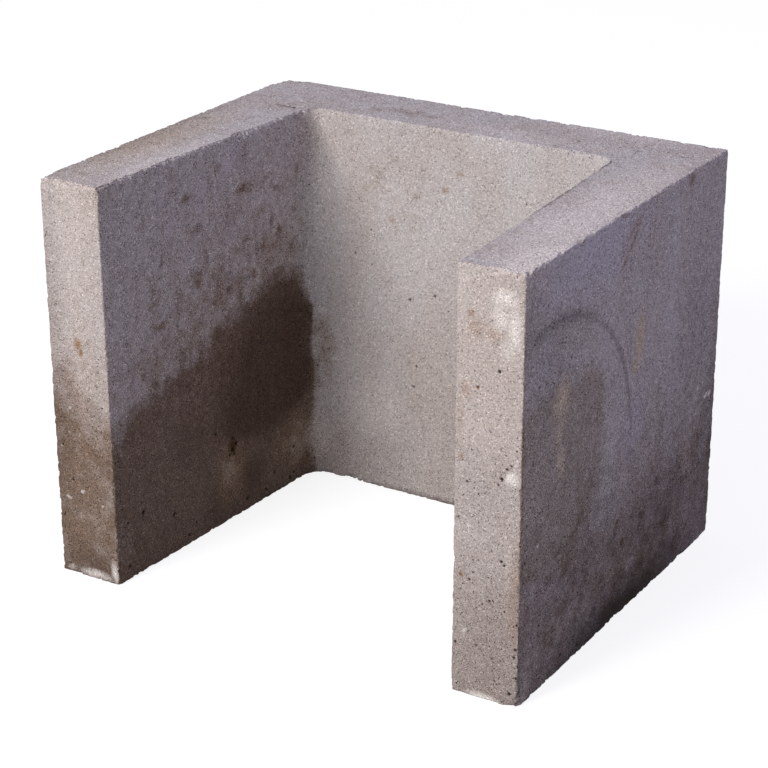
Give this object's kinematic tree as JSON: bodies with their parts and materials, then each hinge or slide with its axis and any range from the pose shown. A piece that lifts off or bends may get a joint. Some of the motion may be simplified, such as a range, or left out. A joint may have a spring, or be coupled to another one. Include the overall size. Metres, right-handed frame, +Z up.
{
  "type": "concrete block",
  "caption": "U-shaped pressed concrete block: two tapering upright arms on a back wall, around an open recess, for garden walls, steps and planters.",
  "frame": {"origin": "centre of the block's outline on the floor that it stands on", "axes": "+Z up along the recess, +Y from the arm tips to the back wall, +X across both arms"},
  "size_m": [0.5, 0.4, 0.4],
  "materials": {
    "concrete": "raw pressed concrete, matt and sandy, with damp stains, lime bloom and a few rust marks"
  },
  "bodies": {
    "root": {"u_block": "concrete"}
  },
  "joints": []
}
